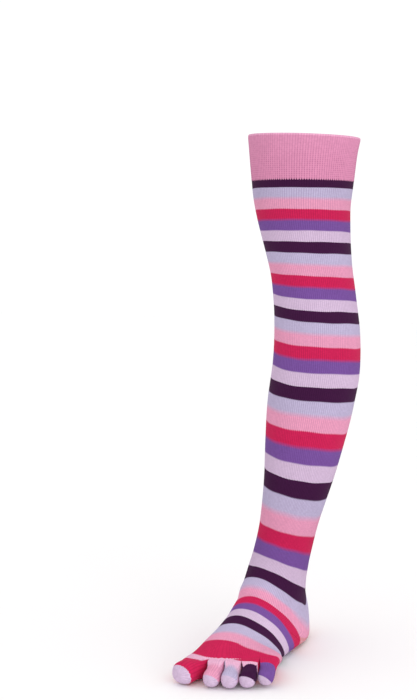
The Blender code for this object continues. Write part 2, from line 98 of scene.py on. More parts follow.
# Sections of the foot: top and bottom points as shares of the foot's length and the ankle's height, half
# widths and place across as shares of the width, height of the widest point, roundness above and below,
# ridge, arch, lead, dip
HEEL_SECTIONS = (
    ("malleoli",  -0.190, 1.000, 0.133, 0.90, 0.525, 0.515, -0.02, 0.50, 2.0, 2.0, 0.00, 0.00, 0.19, 0.09),
    ("ankle_low", -0.216, 0.905, 0.145, 0.82, 0.545, 0.510, -0.05, 0.50, 2.0, 2.0, -0.02, 0.00, 0.20, 0.19),
    ("heel_top",  -0.244, 0.825, 0.166, 0.70, 0.565, 0.510, -0.07, 0.50, 2.1, 2.0, -0.05, 0.00, 0.20, 0.33),
    ("heel_rose", -0.268, 0.757, 0.194, 0.56, 0.580, 0.520, -0.08, 0.50, 2.2, 2.1, -0.09, 0.00, 0.18, 0.40),
    ("heel_back", -0.280, 0.722, 0.226, 0.32, 0.580, 0.540, -0.08, 0.50, 2.2, 2.3, -0.11, 0.00, 0.15, 0.36),
    ("heel_low",  -0.288, 0.693, 0.214, 0.06, 0.575, 0.555, -0.08, 0.49, 2.2, 2.7, -0.12, 0.00, 0.13, 0.29),
    ("heel_sole", -0.296, 0.667, 0.115, 0.00, 0.565, 0.565, -0.08, 0.48, 2.2, 3.1, -0.13, 0.03, 0.10, 0.24),
)
FOOT_SECTIONS = (
    ("heel_front", -0.304, 0.642, 0.000, 0.00, 0.372, 0.362, -0.052, 0.46, 2.2, 3.2, -0.09, 0.06, 0.08, 0.15),
    ("instep",     -0.362, 0.556, -0.105, 0.00, 0.390, 0.368, -0.062, 0.44, 2.1, 3.2, -0.10, 0.11, 0.00, 0.13),
    ("midfoot",    -0.427, 0.468, -0.210, 0.00, 0.440, 0.372, -0.075, 0.42, 2.0, 3.2, -0.11, 0.11, -0.09, 0.11),
    ("fore",       -0.500, 0.366, -0.330, 0.00, 0.500, 0.400, -0.075, 0.42, 2.2, 3.2, -0.14, 0.06, -0.16, 0.06),
    ("ball",       -0.578, 0.286, -0.436, 0.00, 0.540, 0.465, -0.060, 0.42, 2.5, 3.2, -0.14, 0.02, -0.20, -0.02),
    ("toe_line",   -0.650, 0.215, -0.600, 0.01, 0.548, 0.495, -0.045, 0.46, 3.0, 3.0, -0.10, 0.00, -0.18, -0.13),
)
# How sharply the ridge of the front and the arch of the inner sole set in, and the share of a section, from the
# sole up, over which its slopes grow full
RIDGE_POWER = 1.5
ARCH_POWER = 1.5
SOLE_FADE = 0.3

# Stripes: how tall each is beside the others at the stripe numbers given, and the stripes of the foot
LEG_STRIPES = 32
FIRST_STRIPE = 0.62
STRIPE_HEIGHTS = ((1, 1.00), (12, 1.05), (17, 1.28), (21, 1.56), (26, 1.66), (28, 1.38), (29.5, 0.85),
                  (32, 0.76))
FOOT_STRIPES = (1.0, 1.0, 1.0, 1.1, 1.0, 1.0, 2.2)
# Nodes of the frame that the leg and the foot stand for
LEG_NODES = ("knee", "upper_calf", "lower_calf", "shin", "ankle")
FOOT_NODES = ("foot", "forefoot")
# The gores' angle from the front line, the rose stripe's share of the heel's height at the back, and the power
# by which that share falls behind the gores
GORE_ANGLE = math.radians(80)
ROSE_AT_BACK = 0.15
ROSE_FALL = 0.8

# Where the borders between the stripes run. Even stripes are numbered by the front line alone. Each row
# gives a border, and by how many stripes it is shifted down at the angles of STRIPE_ANGLES, in degrees:
# behind, on and before the little-toe side, in front at two places, and on the inner side. Borders in
# between follow their neighbours. The knit drags down behind the ankle, and crowds at the little toe's root.
# The last border is the one between the wide stripe and the pale web of the toes.
STRIPE_ANGLES = (-30, 0, 30, 60, 100, 180)
STRIPE_SHIFTS = (
    (0,   0.00,  0.00,  0.00,  0.00,  0.00,  0.00),
    (6,  -0.10, -0.10, -0.10, -0.10, -0.10, -0.10),
    (12,  0.15,  0.10,  0.05,  0.10,  0.10, -0.20),
    (18,  0.05,  0.15,  0.15,  0.15,  0.15, -0.25),
    (24, -0.20, -0.05,  0.00,  0.00, -0.05, -0.35),
    (27, -0.15,  0.00,  0.05,  0.10,  0.00, -0.25),
    (29,  0.20,  0.05, -0.05, -0.10, -0.20, -0.30),
    (30,  0.60,  0.25,  0.00, -0.10, -0.10, -0.20),
    (31,  1.00,  0.30,  0.00,  0.00,  0.15,  0.10),
    (32,  0.40,  0.25, -0.05,  0.00,  0.20,  0.15),
    (33,  0.00, -0.25, -0.50, -0.30,  0.00,  0.00),
    (34,  0.20, -0.65, -0.90, -0.50, -0.20, -0.20),
    (35,  0.60, -0.25, -0.75, -0.60, -0.50, -0.60),
    (36,  0.60,  0.05, -0.50, -0.50, -0.60, -0.80),
    (37,  1.00,  0.15, -0.30, -0.40, -0.60, -0.90),
    (38,  0.90,  0.90,  0.50, -0.15, -0.60, -0.90),
    (39,  0.50,  0.80,  0.85,  0.40, -0.60, -1.10),
    (40,  0.30,  0.45,  0.25,  0.10, -0.15, -0.70),
)
STRIPE_BORDERS = [(border, *(border + shift for shift in shifts)) for border, *shifts in STRIPE_SHIFTS]

# Toe pockets: end on the toe line as a share of its width, shares of length, base width and height, heading
# in degrees, lift as a share of the height, yarn, share of the length where the pale web ends and the yarn
# starts, how softly, and the lilac tip: where it starts, its tilt down and its turn to the little-toe side
# in degrees. Last, how far the yarn's start slants towards the little toe across the pocket.
TOES = (
    ("big_toe",    0.290, 1.00, 0.90, 1.00, -9.0, 0.00, "crimson", 0.05, 0.02, 0.70, 15, -16, -0.20),
    ("second_toe", 0.475, 1.00, 0.99, 1.00,  5.0, 0.00, "rose",    0.26, 0.24, 0.54, 42,  -8,  0.00),
    ("third_toe",  0.655, 0.95, 1.02, 0.98,  7.5, 0.00, "blue",    0.26, 0.24, 0.54, 42,  -4,  0.10),
    ("fourth_toe", 0.830, 0.84, 1.03, 0.96,  8.0, 0.02, "plum",    0.11, 0.02, 0.58, 42,   0,  0.22),
    ("little_toe", 1.000, 0.72, 1.02, 0.90,  9.0, 0.12, "violet",  0.00, 0.01, 0.64, 42, -20,  0.00),
)
# The yarns' edges at the root of a toe, as shares of its length: how far the crimson reaches on to it for each
# stripe's width past the toe line, from where the edges' slant is full, their arch across the toe, and how they
# turn back at its walls
WEB_SETBACK = 0.9
SLANT_START = 0.18
WEB_ARCH = 0.11
WALL_SHIFT = 0.20
# The pocket's form, as shares of its length: its round cap and the power of the cap's outline, where the pocket
# parts from the web, over how much of it the section grows round, and the section's power, where 1 is an ellipse
# and less is fuller
TOE_CAP = 0.30
TOE_CAP_POWER = 2.2
TOE_PARTING = 0.06
TOE_BLEND = 0.50
TOE_FULLNESS = 0.88

# The knit: a sock machine has about 168 needles. It is drawn with fewer and coarser wales, 2.6 mm apart at
# the calf, because 2 mm ones would be finer than the picture shows. A stripe is 12 courses.
WALES = 132
COURSES = 12
CUFF_COURSES = 24
HEEL_COURSES = 30
TOE_WALES = 30
TOE_COURSES = 22
RIB_RELIEF = 0.00022
WALE_RELIEF = 0.00010
SWELL_HEIGHT = 0.00025
# The courses end at the back line: the jog there to either side of even, in stripes, and its reach in radians
JOG = 0.06
JOG_REACH = 0.45

# Columns of the grids: for each wale, across the heel, and on each arc and web at a toe's root
CUFF_COLUMNS = 4
TUBE_COLUMNS = 2
HEEL_COLUMNS = 150
ARC_COLUMNS = 26
WEB_COLUMNS = 12
# Rows of the grids: down the cuff and round its bead, for each stripe of leg and foot, over the rose stripe's
# stretch into the heel, over the foot's wide stripe, down the heel, and along a toe and over its cap
CUFF_ROWS = 40
BEAD_ROWS = 7
LEG_STRIPE_ROWS = 5
FOOT_STRIPE_ROWS = 8
ROSE_ROWS = 14
WIDE_STRIPE_ROWS = 18
HEEL_ROWS = 61
TOE_ROWS = 27
CAP_ROWS = 18
# Samples along a line on the surface, and the front line's angle, with the little-toe side at 0
LINE_SAMPLES = 1500
FRONT = math.pi / 2
# Edges that turn by more than this are drawn crisp
CRISP_ANGLE = math.radians(60)


def leg_rows(table, width, depth):
    """Leg sections as full rows: front point, back point, half widths, centre and slopes."""
    rows = []
    for _, height, across, along, half_width, half_depth, tilt, lead in table:
        z = ANKLE_HEIGHT + height * LEG_HEIGHT
        y, half, side = along * depth, half_depth * depth, half_width * width
        rise = tilt * half
        rows.append((y - half, z + rise, y + half, z - rise, side, side, across * width,
                     0.5, 2.0, 2.0, 0.0, 0.0, lead, 0.0))
    return rows


def foot_rows(table, width):
    """Heel and foot sections as full rows."""
    scale = np.array([FOOT_LENGTH, ANKLE_HEIGHT, FOOT_LENGTH, ANKLE_HEIGHT, width, width, width,
                      1, 1, 1, width, ANKLE_HEIGHT, 1, width])
    return [tuple(np.array(row[1:]) * scale) for row in table]


SECTION_TABLES = (THIGH_SECTIONS, CALF_SECTIONS, ANKLE_SECTIONS, HEEL_SECTIONS, FOOT_SECTIONS)
SECTION_NAMES = [row[0] for table in SECTION_TABLES for row in table]
SECTIONS = np.array(leg_rows(THIGH_SECTIONS, THIGH_WIDTH, THIGH_DEPTH)
                    + leg_rows(CALF_SECTIONS, CALF_WIDTH, CALF_DEPTH)
                    + leg_rows(ANKLE_SECTIONS, ANKLE_WIDTH, ANKLE_DEPTH)
                    + foot_rows(HEEL_SECTIONS, HEEL_WIDTH)
                    + foot_rows(FOOT_SECTIONS, BALL_WIDTH))
HEEL_START = float(SECTION_NAMES.index("heel_rose"))
FOOT_START = float(SECTION_NAMES.index("heel_front"))
TOE_LINE = float(SECTION_NAMES.index("toe_line"))


def section_at(station):
    """Section values at a station, which is a row number or between two, by a Catmull-Rom curve."""
    last = len(SECTIONS) - 1
    station = np.clip(np.asarray(station, float), 0, last)
    i = np.minimum(station.astype(int), last - 1)
    f = (station - i)[..., None]
    here, after = SECTIONS[i], SECTIONS[i + 1]
    before = np.where((i > 0)[..., None], SECTIONS[np.maximum(i - 1, 0)], 2 * here - after)
    beyond = np.where((i < last - 1)[..., None], SECTIONS[np.minimum(i + 2, last)], 2 * after - here)
    start_slope, end_slope = (after - before) / 2, (beyond - here) / 2
    return ((2 * f**3 - 3 * f**2 + 1) * here + (f**3 - 2 * f**2 + f) * start_slope
            + (3 * f**2 - 2 * f**3) * after + (f**3 - f**2) * end_slope)


def sock_surface(angle, station):
    """P(angle, station): a superellipse between the section's front and back points, |c|^(2/n) across and
    |s|^(2/n) along its chord, pushed ahead along the sock by lead times the reach and dip times c^2.
    """
    angle, station = np.broadcast_arrays(np.asarray(angle, float), np.asarray(station, float))
    (front_y, front_z, back_y, back_z, medial, lateral, across, side,
     top_round, bottom_round, ridge, arch, lead, dip) = np.moveaxis(section_at(station), -1, 0)
    cosine, sine = np.cos(angle), np.sin(angle)
    power = 2 / np.where(sine > 0, top_round, bottom_round)
    wide = np.sign(cosine) * np.abs(cosine) ** power
    tall = np.sign(sine) * np.abs(sine) ** power
    share = np.where(tall > 0, side + (1 - side) * tall, side + side * tall)
    reach = np.where(cosine > 0, lateral, medial) * wide
    x = across + reach + ridge * np.clip(tall, 0, 1) ** RIDGE_POWER
    chord_y, chord_z = back_y - front_y, back_z - front_z
    chord = np.hypot(chord_y, chord_z)
    ahead = lead * reach + dip * cosine * cosine
    off_sole = 1 - (1 - np.clip(share / SOLE_FADE, 0, 1)) ** 2
    y = back_y - chord_y * share + ahead * chord_z / chord
    z = back_z - chord_z * share - ahead * chord_y / chord * off_sole
    z = z + arch * np.clip(-wide, 0, 1) ** ARCH_POWER * np.clip(-tall, 0, 1) ** 0.5
    return np.stack([x, y, z], -1)


RIM_CENTRE = (sock_surface(FRONT, 0.0) + sock_surface(-FRONT, 0.0)) / 2


def unit(vectors):
    """Vectors at length 1."""
    return vectors / np.maximum(np.linalg.norm(vectors, axis=-1, keepdims=True), 1e-12)


def slopes(angle, station):
    """Central differences of the sock's surface, around and along."""
    step = 1e-3
    around = (sock_surface(angle + step, station) - sock_surface(angle - step, station)) / (2 * step)
    along = (sock_surface(angle, station + step) - sock_surface(angle, station - step)) / (2 * step)
    return around, along


def front_line(start, end):
    """Stations down the front line, and how far along it each lies."""
    stations = np.linspace(start, end, LINE_SAMPLES)
    steps = np.linalg.norm(np.diff(sock_surface(FRONT, stations), axis=0), axis=1)
    return stations, np.concatenate([[0.0], np.cumsum(steps)])


def stations_along(start, end, heights):
    """Stations that part the front line between two stations in the proportions given."""
    stations, length = front_line(start, end)
    edges = np.concatenate([[0.0], np.cumsum(heights)])
    return np.interp(edges / edges[-1] * length[-1], length, stations)


def station_below_rim(distance):
    """Station at a distance down the front line from the rim."""
    stations, length = front_line(0.0, HEEL_START)
    return float(np.interp(distance, length, stations))


def from_back(angles):
    """Angle away from the back line, where the stripes jog, between -pi and pi."""
    return (angles + FRONT + math.pi) % (2 * math.pi) - math.pi


def rose_share(angles):
    """Share of the heel's height that the rose stripe takes: all of it up to the gores, less behind them."""
    behind = np.clip((math.pi - np.abs(from_back(angles)) - GORE_ANGLE) / (math.pi - GORE_ANGLE), 0, 1)
    return 1 - (1 - ROSE_AT_BACK) * np.sin(behind * math.pi / 2) ** ROSE_FALL


def unevenness(angles, stations):
    """Slow swells of a sock drawn on by hand: three sines that run round and along it, 0.25 mm in all."""
    return SWELL_HEIGHT * (0.5 * np.sin(3 * angles + 1.7 * stations)
                           + 0.3 * np.sin(5 * angles - 2.9 * stations + 1.0)
                           + 0.2 * np.sin(2 * angles + 5.3 * stations + 2.0))


def leg_stripe_heights():
    """Relative height of each leg stripe."""
    numbers, heights = zip(*STRIPE_HEIGHTS)
    tall = np.interp(np.arange(LEG_STRIPES), numbers, heights)
    tall[0] = FIRST_STRIPE
    return tall


LEG_EDGES = stations_along(station_below_rim(CUFF_HEIGHT), HEEL_START, leg_stripe_heights())
FOOT_EDGES = stations_along(FOOT_START, TOE_LINE, FOOT_STRIPES)
EDGES = np.concatenate([LEG_EDGES, FOOT_EDGES])


def round_the_sock(angles, values):
    """Values at any angle from those at STRIPE_ANGLES: cubic curves between them, closed round the back."""
    first = math.radians(STRIPE_ANGLES[0])
    knots = np.append(np.radians(STRIPE_ANGLES) - first, 2 * math.pi)
    heights = np.append(values, values[0])
    wide = np.concatenate([[knots[-2] - knots[-1]], knots, [knots[-1] + knots[1]]])
    tall = np.concatenate([[heights[-2]], heights, [heights[1]]])
    steep = (tall[2:] - tall[:-2]) / (wide[2:] - wide[:-2])
    turn = (angles - first) % (2 * math.pi)
    i = np.clip(np.searchsorted(knots, turn, side="right") - 1, 0, len(knots) - 2)
    width = knots[i + 1] - knots[i]
    f = (turn - knots[i]) / width
    return ((2 * f**3 - 3 * f**2 + 1) * heights[i] + (f**3 - 2 * f**2 + f) * width * steep[i]
            + (3 * f**2 - 2 * f**3) * heights[i + 1] + (f**3 - f**2) * width * steep[i + 1])


def stripe_number(angles, stations):
    """Stripe number on the sock: the even number by station, led through the borders of the table at each
    angle. The edges also stray by slow sines, and at the back line they jog by about 1.5 courses, where the
    courses end.
    """
    even = np.interp(stations, EDGES, np.arange(len(EDGES)))
    number = np.zeros(np.broadcast(angles, stations).shape)
    for lower, upper in zip(STRIPE_BORDERS, STRIPE_BORDERS[1:]):
        start, end = round_the_sock(angles, lower[1:]), round_the_sock(angles, upper[1:])
        number += (upper[0] - lower[0]) * np.clip((even - start) / (end - start), 0, 1)
    number += np.maximum(even - end, 0)
    back = from_back(angles)
    jog = JOG * np.sign(back) * np.clip(1 - np.abs(back) / JOG_REACH, 0, 1)
    stray = 0.015 * np.sin(3 * angles + 1.1 * number) + 0.012 * np.sin(8 * angles + 2.3 * number)
    return number + stray + jog


def new_piece(name, points, faces, maps, material, nodes):
    """A mesh piece from arrays: points, quads, and for each UV map the values [faces, corners, 2]. It stands
    for the frame's nodes, hides them, and hangs under the root body.
    """
    mesh = bpy.data.meshes.new(name)
    mesh.from_pydata((points - RIM_CENTRE).tolist(), [], faces.tolist())
    for map_name, values in maps.items():
        layer = mesh.uv_layers.new(name=map_name)
        layer.data.foreach_set("uv", values.astype(np.float32).ravel())
    joined = bmesh.new()
    joined.from_mesh(mesh)
    bmesh.ops.remove_doubles(joined, verts=joined.verts, dist=1e-6)
    joined.to_mesh(mesh)
    joined.free()
    mesh.shade_smooth()
    mesh.set_sharp_from_angle(angle=CRISP_ANGLE)
    mesh.materials.append(material)
    piece = bpy.data.objects.new(name + "_knit", mesh)
    bpy.context.scene.collection.objects.link(piece)
    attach(piece, "root")
    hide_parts(*nodes)


def shell(name, outer, inner, maps, material, nodes, closed=True, tip=False):
    """A walled surface. outer and inner are grids [around, along]; maps holds grids of UV values that have
    one more column than a closed outer grid, so that a pattern can start anew at the back line.
    """
    around, along = outer.shape[:2]
    spans = around if closed else around - 1
    i, j = np.meshgrid(np.arange(spans), np.arange(along - 1), indexing="ij")
    corners = [(i, j), (i + 1, j), (i + 1, j + 1), (i, j + 1)]
    index = np.stack([(a % around) * along + b for a, b in corners], -1).reshape(-1, 4)
    inside = around * along
    faces = [index, index[:, ::-1] + inside]
    picks = [(a.ravel(), b.ravel()) for a, b in corners]
    flat = {key: np.stack([grid[a, b] for a, b in picks], 1) for key, grid in maps.items()}
    values = {key: [grid, grid[:, ::-1]] for key, grid in flat.items()}

    def rim(first, second):
        """One strip of quads that joins the walls along an edge, from lists of grid places."""
        (a, b), (c, d) = first, second
        near, far = (a % around) * along + b, (c % around) * along + d
        faces.append(np.stack([near, far, far + inside, near + inside], -1))
        for key, grid in maps.items():
            one, two = grid[a, b], grid[c, d]
            values[key].append(np.stack([one, two, two, one], 1))

    columns = np.arange(spans)
    ends = np.zeros(spans, int)
    rim((columns + 1, ends), (columns, ends))
    if not tip:
        rim((columns, ends + along - 1), (columns + 1, ends + along - 1))
    if not closed:
        rows = np.arange(along - 1)
        edge = np.zeros(along - 1, int)
        rim((edge, rows), (edge, rows + 1))
        rim((edge + around - 1, rows + 1), (edge + around - 1, rows))
    points = np.concatenate([outer.reshape(-1, 3), inner.reshape(-1, 3)])
    new_piece(name, points, np.concatenate(faces),
              {key: np.concatenate(grids) for key, grids in values.items()}, material, nodes)


def columns_round(per_wale):
    """Angles of the columns round the sock, from the back line, with the last one a whole turn on."""
    return -FRONT + np.arange(WALES * per_wale + 1) * 2 * math.pi / (WALES * per_wale)


def knit_walls(angles, stations, wall, relief):
    """Outer and inner grid: the sock's surface moved out by its relief, and moved in by the wall."""
    plain = sock_surface(angles, stations)
    normals = unit(np.cross(*slopes(angles, stations)))
    return plain + normals * relief[..., None], plain - normals * wall


def wale_ribs(angles, height):
    """A cosine rib for each wale, as high as said."""
    return height * np.cos((angles + FRONT) * WALES)


def pair(first, second):
    """Two grids as one grid of UV values."""
    return np.stack(np.broadcast_arrays(first, second), -1)


def make_cuff(material):
    """The cuff: surface and ribs, up the outer face, over a half-round bead at the rim, and down inside."""
    seam = station_below_rim(CUFF_HEIGHT)
    round_angles = columns_round(CUFF_COLUMNS)[:-1]
    bead = CUFF_WALL / 2
    drop = bead / np.linalg.norm(slopes(round_angles, np.zeros_like(round_angles))[1], axis=-1)
    shares = np.linspace(1, 0, CUFF_ROWS)
    stations = drop[:, None] + (seam - drop[:, None]) * shares
    angles = np.broadcast_to(round_angles[:, None], stations.shape)
    fade = np.clip((1 - shares) / 0.04, 0, 1) * np.clip(shares / 0.05, 0, 1)
    relief = wale_ribs(angles, RIB_RELIEF) * fade + unevenness(angles, stations)
    outer, inner = knit_walls(angles, stations, CUFF_WALL, relief)
    middle, out = (outer[:, -1] + inner[:, -1]) / 2, (outer[:, -1] - inner[:, -1]) / 2
    up = -unit(slopes(round_angles, drop)[1]) * np.linalg.norm(out, axis=-1, keepdims=True) * 1.1
    turn = np.linspace(0, math.pi, BEAD_ROWS + 2)[1:-1]
    bead_rows = (middle[:, None] + out[:, None] * np.cos(turn)[None, :, None]
                 + up[:, None] * np.sin(turn)[None, :, None])
    loop = np.concatenate([outer, bead_rows, inner[:, ::-1]], axis=1)
    around, along = loop.shape[:2]
    i, j = np.meshgrid(np.arange(around), np.arange(along), indexing="ij")
    corners = [(i, j), (i, j + 1), (i + 1, j + 1), (i + 1, j)]
    faces = np.stack([(a % around) * along + b % along for a, b in corners], -1).reshape(-1, 4)
    wale = np.arange(around + 1)[:, None] / CUFF_COLUMNS
    down = np.concatenate([shares, np.zeros(len(turn)), shares[::-1], [1.0]])[None, :]
    maps = {"wales": pair(wale, down * CUFF_COURSES), "stripes": pair(down, np.zeros((around + 1, 1)))}
    values = {key: np.stack([grid[a, b] for a, b in corners], -2).reshape(-1, 4, 2)
              for key, grid in maps.items()}
    new_piece("cuff", loop.reshape(-1, 3), faces, values, material, ("cuff",))


def seam_lapped(angles, stations):
    """Stations whose first and last rows reach half of the seam's lap over the next piece."""
    stations = stations.copy()
    for column, sign in ((0, 1), (-1, -1)):
        along = slopes(angles[:, column], stations[:, column])[1]
        stations[:, column] -= sign * SEAM_LAP / 2 / np.linalg.norm(along, axis=-1)
    return stations


def off_the_back_line(angles):
    """Angles moved a hair off the back line, to the side that their column belongs to."""
    return np.where(angles > FRONT, angles - 1e-6, angles + 1e-6)


def striped_tube(name, angles, stations, material, nodes):
    """A plain knitted stretch of the sock with wale ribs, and its stripe numbers in the second UV map."""
    angles, stations = np.broadcast_arrays(angles, stations)
    stations = seam_lapped(angles, stations)
    relief = wale_ribs(angles, WALE_RELIEF) + unevenness(angles, stations)
    outer, inner = knit_walls(angles[:-1], stations[:-1], KNIT_WALL, relief[:-1])
    wale = (angles + FRONT) * WALES / (2 * math.pi)
    stripes = stripe_number(off_the_back_line(angles), stations)
    maps = {"wales": pair(wale, stripes * COURSES), "stripes": pair(stripes, np.zeros_like(stripes))}
    shell(name, outer, inner, maps, material, nodes)


def make_leg(material):
    """The striped tube from the cuff, with the rose stripe over the instep that runs round into the heel."""
    numbers = np.linspace(0, LEG_STRIPES, LEG_STRIPES * LEG_STRIPE_ROWS + 1)
    rows = np.interp(numbers, np.arange(LEG_STRIPES + 1), LEG_EDGES)
    angles = columns_round(TUBE_COLUMNS)[:, None]
    down = np.linspace(0, 1, ROSE_ROWS + 1)[1:]
    heel_rows = HEEL_START + rose_share(angles) * down * (FOOT_START - HEEL_START)
    stations = np.concatenate([np.broadcast_to(rows, (len(angles), len(rows))), heel_rows], axis=1)
    striped_tube("leg", angles, stations, material, LEG_NODES)


def make_foot(material):
    """The striped tube from the heel to the toe line; its last stripe is the wide one."""
    count = len(FOOT_STRIPES)
    numbers = np.concatenate([np.linspace(0, count - 1, (count - 1) * FOOT_STRIPE_ROWS + 1),
                              np.linspace(count - 1, count, WIDE_STRIPE_ROWS + 1)[1:]])
    rows = np.interp(numbers, np.arange(count + 1), FOOT_EDGES)
    striped_tube("foot", columns_round(TUBE_COLUMNS)[:, None], rows[None, :], material, FOOT_NODES)


def make_heel(material):
    """The heel pocket: a lens between the rose stripe and the foot, with a raised gore line at each end."""
    reach = math.pi - GORE_ANGLE
    angles = -FRONT + np.linspace(-reach, reach, HEEL_COLUMNS)
    for corner, inwards in ((0, 1), (-1, -1)):
        around = slopes(angles[corner], FOOT_START)[0]
        angles[corner] += inwards * GORE_SETBACK / np.linalg.norm(around)
    angles = np.linspace(angles[0], angles[-1], len(angles))
    top = HEEL_START + rose_share(angles) * (FOOT_START - HEEL_START)
    rows = np.linspace(0, 1, HEEL_ROWS)
    stations = top[:, None] + (FOOT_START - top)[:, None] * rows
    grid_angles = np.broadcast_to(angles[:, None], stations.shape)
    stations = seam_lapped(grid_angles, stations)
    for corner in (0, -1):
        stations[corner] = stations[corner].mean()
    off_centre = np.abs(angles + FRONT)[:, None] / reach
    gore = np.exp(-((rows - 0.5) / GORE_WIDTH) ** 2) * np.clip((off_centre - GORE_START) / GORE_FADE, 0, 1)
    relief = wale_ribs(grid_angles, WALE_RELIEF) + unevenness(grid_angles, stations) + GORE_RELIEF * gore
    outer, inner = knit_walls(grid_angles, stations, KNIT_WALL, relief)
    wale = (grid_angles + FRONT) * WALES / (2 * math.pi)
    maps = {"wales": pair(wale, rows[None, :] * HEEL_COURSES),
            "stripes": pair(stripe_number(grid_angles, stations), gore)}
    shell("heel", outer, inner, maps, material, ("heel",), closed=False)


def toe_line_angles(share):
    """Angles of the top and the bottom of the toe line at a share of its width from the inner edge."""
    angles = np.linspace(0.0, math.pi, LINE_SAMPLES)
    top, bottom = sock_surface(angles, TOE_LINE)[:, 0], sock_surface(-angles, TOE_LINE)[:, 0]
    across = top[-1] + share * (top[0] - top[-1])
    return float(np.interp(-across, -top, angles)), -float(np.interp(-across, -bottom, angles))


def between(start, end, count):
    """Points on the straight line between two points, without its ends."""
    return start + (end - start) * np.linspace(0, 1, count + 1)[1:-1, None]


def toe_base(start, end):
    """Base ring of the toe pocket between two shares of the toe line: its arcs, and webs straight across."""
    top_start, bottom_start = toe_line_angles(start)
    top_end, bottom_end = toe_line_angles(end)
    side_count = 2 * ARC_COLUMNS + WEB_COLUMNS
    if start == 0.0:
        arc = sock_surface(np.linspace(top_end, 2 * math.pi + bottom_end, side_count + 1), TOE_LINE)
        return np.concatenate([arc, between(arc[-1], arc[0], WEB_COLUMNS)])
    if end == 1.0:
        arc = sock_surface(np.linspace(bottom_start, top_start, side_count + 1), TOE_LINE)
        return np.concatenate([arc, between(arc[-1], arc[0], WEB_COLUMNS)])
    top = sock_surface(np.linspace(top_end, top_start, ARC_COLUMNS + 1), TOE_LINE)
    bottom = sock_surface(np.linspace(bottom_start, bottom_end, ARC_COLUMNS + 1), TOE_LINE)
    return np.concatenate([top, between(top[-1], bottom[0], WEB_COLUMNS),
                           bottom, between(bottom[-1], top[0], WEB_COLUMNS)])


def ease(t):
    """Smooth step from 0 to 1."""
    t = np.clip(t, 0, 1)
    return t * t * (3 - 2 * t)


def toe_grid(base, length, width, height, heading, lift, along):
    """P(around, along): the base ring carried ahead, where the web still joins the toes, and blended past it
    into full ellipses width by height whose radius falls as the root of 1 - cap^2.2 over the last stretch,
    to a round tip.
    """
    centre = (base.max(axis=0) + base.min(axis=0)) / 2
    half = (base.max(axis=0) - base.min(axis=0)) / 2
    width = width * 2 * half[0]
    angles = np.arctan2((base[:, 2] - centre[2]) / half[2], (base[:, 0] - centre[0]) / half[0])
    heading = math.radians(heading)
    ahead = np.array([math.sin(heading), -math.cos(heading), 0.0])
    aside = np.array([math.cos(heading), math.sin(heading), 0.0])
    path = centre + ahead * (length * along)[:, None]
    path[:, 2] = centre[2] + (height * (0.5 + lift) - centre[2]) * ease(along)
    cap = np.clip((along - 1 + TOE_CAP) / TOE_CAP, 0, 1)
    radius = np.sqrt(np.maximum(1 - cap ** TOE_CAP_POWER, 0))
    cosine, sine = np.cos(angles), np.sin(angles)
    wide = width / 2 * np.sign(cosine) * np.abs(cosine) ** TOE_FULLNESS
    tall = height / 2 * np.sign(sine) * np.abs(sine) ** TOE_FULLNESS
    tube = (path[None] + aside * (wide[:, None] * radius)[..., None]
            + np.array([0.0, 0.0, 1.0]) * (tall[:, None] * radius)[..., None])
    blend = ease((along - TOE_PARTING) / TOE_BLEND)[None, :, None]
    return (base[:, None] + (path - path[0])[None]) * (1 - blend) + tube * blend


def make_toe(values, start, material):
    """One toe pocket on its stretch of the toe line, from the share start."""
    name, end, length, width, height, heading, lift, *_, tilt, turn, slant = values
    tilt, turn = np.radians([tilt, turn])
    big = name == "big_toe"
    base = toe_base(start, end)
    base -= unit((base.max(axis=0) + base.min(axis=0)) / 2 - base) * SEAM_LAP / 4
    cap_rows = np.sin(np.linspace(0, math.pi / 2, CAP_ROWS + 1)[1:])
    along = np.concatenate([np.linspace(0, 1 - TOE_CAP, TOE_ROWS), 1 - TOE_CAP * (1 - cap_rows)])
    outer = toe_grid(base, length * (BIG_TOE_LENGTH if big else TOE_LENGTH), width,
                     height * (BIG_TOE_HEIGHT if big else TOE_HEIGHT), heading, lift, along)
    outer[:, 0] -= unit(outer[:, 1] - outer[:, 0]) * SEAM_LAP
    normals = unit(np.cross(np.roll(outer, -1, 0) - np.roll(outer, 1, 0), np.gradient(outer, axis=1)))
    ring = outer[:, 0] - outer[:, 0].mean(axis=0)
    axis = unit(np.cross(ring, np.roll(ring, -1, 0)).sum(axis=0))
    normals[:, 0] = unit(normals[:, 0] - (normals[:, 0] @ axis)[:, None] * axis)
    normals[:, -1] = unit(outer[:, -1] - outer[:, -3].mean(axis=0))
    count = len(outer)
    wale = pair(np.arange(count + 1)[:, None] / count * TOE_WALES, along[None, :] * TOE_COURSES)
    ring_angles = np.arctan2(base[:, 2] - base[:, 2].mean(), base[:, 0] - SECTIONS[-1, 6])
    striped = np.clip(round_the_sock(ring_angles, STRIPE_BORDERS[-1][1:]) - STRIPE_BORDERS[-1][0], 0, 1)
    sideways = (base[:, 0] - base[:, 0].mean()) / np.ptp(base[:, 0])
    off_web = along[None, :] - WEB_SETBACK * striped[:, None]
    shift = slant * sideways - WEB_ARCH * (2 * sideways) ** 2 + WALL_SHIFT * np.abs(2 * sideways) ** 12
    off_web = off_web + shift[:, None] * np.clip(off_web / SLANT_START, 0, 1)
    towards = np.array([math.sin(turn) * math.cos(tilt), -math.cos(turn) * math.cos(tilt), -math.sin(tilt)])
    tip_share = (outer - outer[:, 0].mean(axis=0)) @ towards / np.ptp(outer[:, :, 1])
    share = np.stack([off_web, tip_share], -1)
    share = np.concatenate([share, share[:1]])
    maps = {"wales": wale, "stripes": share}
    shell(name, outer, outer - KNIT_WALL * normals, maps, material, (name,), tip=True)


